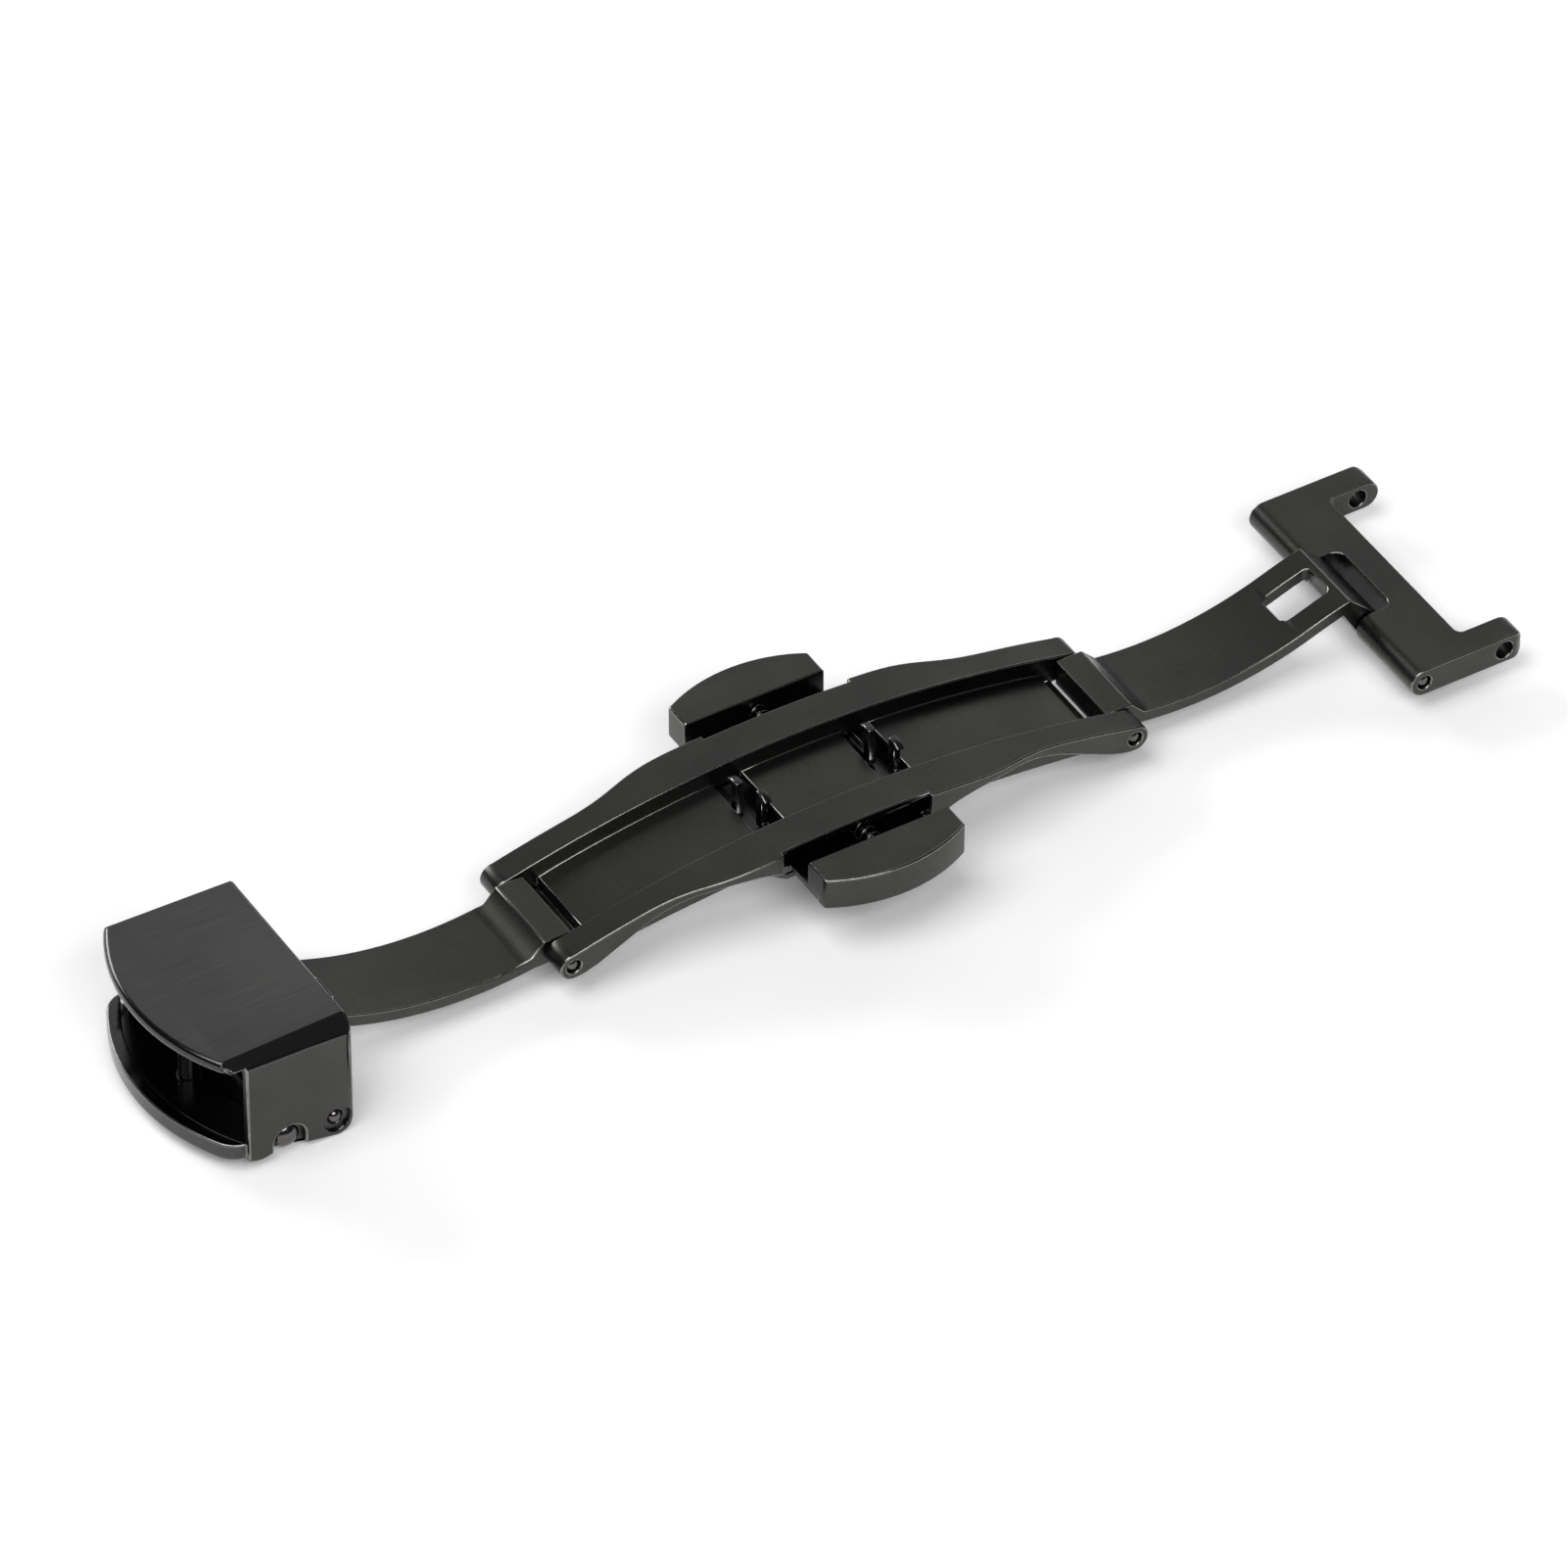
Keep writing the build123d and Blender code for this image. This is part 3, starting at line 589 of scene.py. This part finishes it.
cap = finished_copy("cap_shell")
round_edges(cap, width_mm=0.15, hollow=0, limit=50)
cap.data.materials.append(satin_black)
cap.data.materials.append(polished_black)
low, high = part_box("cap_hinge_pin")
pin = (low + high) / 2
for face in cap.data.polygons:
    from_pin = face.center - pin
    if face.material_index == EDGE_MATERIAL:
        if math.hypot(from_pin.x, from_pin.z) < HOLE_RING:
            face.material_index = POLISHED_SLOPES
    elif abs(face.normal.z) < UPRIGHT:
        face.material_index = SATIN_SIDES
    elif UPRIGHT <= face.normal.z < LEVEL:
        face.material_index = POLISHED_SLOPES
stand_in(cap, "cap_shell")

# %% [markdown]
# ## Hinge pins
#
# The hinge pins are turned from rod and their ends are domed and polished, so each end shows one
# small glint. A cylinder with a bevel would have a flat end that mirrors all or nothing. So half of
# the pin's outline is drawn, from the tip of one dome to that of the other, and the Screw modifier
# turns it round the axis as a lathe would. The gate's pin has a wider head at each end, which sits
# in the cap's notch.

# %% half of a pin's outline
PIN_R = 0.5 * MM
DOME_STEPS = 6


def pin_outline(end_r, half, dome, head_mm):
    """Points (radius, place along the axis) of a pin of two equal halves, from end to end."""
    ball_r = (end_r**2 + dome**2) / (2 * dome)
    reach = math.asin(end_r / ball_r)
    outline = []
    for i in range(DOME_STEPS + 1):
        angle = reach * i / DOME_STEPS
        outline.append((ball_r * math.sin(angle), half - ball_r + ball_r * math.cos(angle)))
    outline[0] = (0, half)
    if head_mm:
        outline.append((end_r, half - head_mm * MM))
        outline.append((PIN_R, half - head_mm * MM))
    return outline + [(r, -y) for r, y in reversed(outline)]


# %% [markdown]
# The lathe turns the outline round the upright axis. The pin is then laid along the hinge, and its
# turn and place go into the mesh, so that the finished piece sits at the origin as its solid does.

# %% turn a pin
LATHE_STEPS = 48
ON_AXIS = 0.001 * MM
CRISP = math.radians(50)


def turn_pin(node, dome_mm, head_mm=0.0):
    """A turned pin in the place of a CAD node, with domed ends, and heads of the given height."""
    low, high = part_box(node)
    centre = (low + high) / 2
    outline = pin_outline((high.x - low.x) / 2, (high.y - low.y) / 2, dome_mm * MM, head_mm)
    lines = [(i, i + 1) for i in range(len(outline) - 1)]
    mesh = bpy.data.meshes.new(node + "_turned")
    mesh.from_pydata([(r, 0, y) for r, y in outline], lines, [])
    pin = bpy.data.objects.new(node + "_turned", mesh)
    bpy.context.scene.collection.objects.link(pin)
    lathe = pin.modifiers.new("lathe", "SCREW")
    lathe.steps = lathe.render_steps = LATHE_STEPS
    lathe.use_merge_vertices = True
    lathe.merge_threshold = ON_AXIS
    apply_modifiers(pin)
    open_mesh(pin)
    bpy.ops.mesh.normals_make_consistent(inside=False)
    close_mesh()
    pin.rotation_euler = (math.pi / 2, 0, 0)
    pin.location = centre
    bpy.ops.object.transform_apply(location=True, rotation=True, scale=True)
    bpy.ops.object.shade_smooth_by_angle(angle=CRISP)
    finish(pin, pin_polished)
    stand_in(pin, node)


# %% the five pins
for node in ("left_channel_pin", "right_channel_pin", "lug_plate_pin", "cap_hinge_pin"):
    turn_pin(node, dome_mm=0.3)
turn_pin("gate_pin", dome_mm=0.38, head_mm=0.4)

# %% [markdown]
# ## Return springs
#
# A small compression spring sits on each guide stem, in the gap beside the pusher, and presses the
# pusher outwards. Its wire could be a curve with a bevel, but a curve has to be turned into a mesh
# in the end. So the wire's section is drawn as a small circle, and the Screw modifier carries it
# round and along the axis at once. Its two ends are then closed with a face each.

# %% wind the wire
SPRING_TURNS = 5
WIRE_R = 0.1 * MM
WIRE_SIDES = 12
STEPS_PER_TURN = 28


def wind_wire(name, coil_r, length):
    """A wire wound about the upright axis. It starts at the origin's height and goes up."""
    bpy.ops.object.select_all(action="DESELECT")
    bpy.ops.mesh.primitive_circle_add(
        vertices=WIRE_SIDES, radius=WIRE_R, location=(coil_r, 0, 0), rotation=(math.pi / 2, 0, 0)
    )
    wire = bpy.context.object
    wire.name = name
    bpy.ops.object.transform_apply(location=True, rotation=True, scale=True)
    screw = wire.modifiers.new("winding", "SCREW")
    screw.axis = "Z"
    screw.angle = 2 * math.pi * SPRING_TURNS
    screw.screw_offset = length
    screw.steps = screw.render_steps = STEPS_PER_TURN * SPRING_TURNS
    screw.use_merge_vertices = False
    apply_modifiers(wire)
    bpy.ops.object.mode_set(mode="EDIT")
    bpy.ops.mesh.select_mode(type="EDGE")
    bpy.ops.mesh.select_all(action="DESELECT")
    bpy.ops.mesh.select_non_manifold()
    bpy.ops.mesh.edge_face_add()
    bpy.ops.mesh.select_all(action="SELECT")
    bpy.ops.mesh.normals_make_consistent(inside=False)
    close_mesh()
    return wire


# %% [markdown]
# The spring takes its width, its length and its place from the plain tube that stands for it in the
# model.


def wind_spring(node):
    """A wound spring in the place of a CAD node."""
    low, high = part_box(node)
    centre = (low + high) / 2
    length = high.y - low.y - 2 * WIRE_R
    piece = wind_wire(node.replace("return", "coil"), (high.x - low.x) / 2 - WIRE_R, length)
    piece.rotation_euler = (-math.pi / 2, 0, 0)
    piece.location = (centre.x, centre.y - length / 2, centre.z)
    bpy.ops.object.transform_apply(location=True, rotation=True, scale=True)
    bpy.ops.object.shade_smooth_by_angle(angle=CRISP)
    finish(piece, wire_dark)
    stand_in(piece, node)
    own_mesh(piece)
    print(piece.name, "turns", SPRING_TURNS, "length", round(length / MM, 2), "mm")


wind_spring("near_return_spring")
wind_spring("far_return_spring")

# %% [markdown]
# ## Studio
#
# The clasp lies on a sheet of white paper that fills the picture. It could be made white by more
# light, but that light would fall on the clasp as well. Instead the paper shines a little by
# itself, and only towards the camera and towards what mirrors it or lets it through.

# %% the paper
paper = bpy.data.materials.new("white_paper_floor")
paper.use_nodes = True
tree = paper.node_tree
shader = tree.nodes["Principled BSDF"]
# Paper of pressed wood fibres: matt and white, with a faint change of tone. The fibres are drawn
# coarser than real ones, so that they can show at all.
FIBRE_MM = 0.8
fibre = add_node(
    tree, "ShaderNodeTexNoise",
    values={"Scale": 1 / (FIBRE_MM * MM), "Detail": 4.0},
    links={"Vector": add_node(tree, "ShaderNodeTexCoord").outputs["Object"]},
)
tone = add_node(
    tree, "ShaderNodeMix", {"data_type": "RGBA"},
    values={MIX_FIRST: linear("#fbfbfb"), MIX_SECOND: linear("#ffffff")},
    links={0: fibre.outputs["Fac"]},
)
tree.links.new(tone.outputs[MIX_RESULT], shader.inputs["Base Color"])
shader.inputs["Roughness"].default_value = 0.8
shader.inputs["Specular IOR Level"].default_value = 0.2
print("paper nodes:", len(tree.nodes))

# %% the paper's own light
PAPER_GLOW = 0.1

path = add_node(tree, "ShaderNodeLightPath")
mirrored = add_node(
    tree, "ShaderNodeMath", {"operation": "ADD"},
    links={0: path.outputs["Is Glossy Ray"], 1: path.outputs["Is Transmission Ray"]},
)
seen = add_node(
    tree, "ShaderNodeMath", {"operation": "ADD"},
    links={0: path.outputs["Is Camera Ray"], 1: mirrored.outputs["Value"]},
)
glow = add_node(
    tree, "ShaderNodeMath", {"operation": "MULTIPLY"},
    values={1: PAPER_GLOW}, links={0: seen.outputs["Value"]},
)
shader.inputs["Emission Color"].default_value = (1, 1, 1, 1)
tree.links.new(glow.outputs["Value"], shader.inputs["Emission Strength"])
print("the paper shines by", PAPER_GLOW)

# %% the floor
FLOOR_SIZE = 6

bpy.ops.object.select_all(action="DESELECT")
bpy.ops.mesh.primitive_plane_add(size=FLOOR_SIZE, location=(0, 0, cad_box[0][2]))
floor = bpy.context.object
floor.name = "pale_floor"
finish(floor, paper)
print("floor at", round(floor.location.z / MM, 3), "mm")

# %% [markdown]
# A metal shows what it faces, so the lamps are placed by reflection: the normal of the face that
# should be bright lies midway between the way to the camera and the way to the lamp. All four are
# large soft boxes, as in a studio for jewellery, because a small lamp would give a small hard spot.
#
# The wide one behind on the right is what the level faces mirror. The strip behind on the left
# draws the line along the far half of the cap's front lip. The one in front draws the lines along
# the left half of the two rails and along the near pusher. The large one above on the left lights
# the floor, which the upright faces mirror in turn.

# %% the lamps
def softbox(name, towards, distance, width, height, brightness):
    """A soft lamp that faces the clasp. Its power grows with its size, so its brightness stays."""
    lamp = bpy.data.lights.new(name, "AREA")
    lamp.shape = "RECTANGLE"
    lamp.size, lamp.size_y = width, height
    lamp.energy = brightness * width * height * math.pi
    stand = bpy.data.objects.new(name, lamp)
    bpy.context.scene.collection.objects.link(stand)
    towards = Vector(towards).normalized()
    stand.location = towards * distance
    stand.rotation_euler = towards.to_track_quat("Z", "Y").to_euler()
    print(name, "watts", round(lamp.energy, 2))


softbox(
    "back_right_softbox", towards=(0.52, 0.64, 0.565),
    distance=1.6, width=1.5, height=1.35, brightness=0.62,
)
softbox(
    "back_left_strip", towards=(-0.25, 0.87, 0.42),
    distance=1.5, width=0.7, height=0.5, brightness=8.0,
)
softbox(
    "front_left_lamp", towards=(-0.1, -0.71, 0.67),
    distance=1.6, width=0.95, height=0.6, brightness=6.6,
)
softbox(
    "top_left_softbox", towards=(-0.45, -0.1, 0.89),
    distance=1.6, width=1.2, height=1.0, brightness=3.8,
)

# %% [markdown]
# The world stands for the room around the studio. Its dark grey is what the clasp mirrors where it
# faces no lamp and no paper. The view transform is Standard, so that a colour shows as it is
# written.

# %% the room and the view
world = bpy.data.worlds.new("studio_air")
world.use_nodes = True
world.node_tree.nodes["Background"].inputs["Color"].default_value = linear("#484848")
bpy.context.scene.world = world
bpy.context.scene.view_settings.view_transform = "Standard"
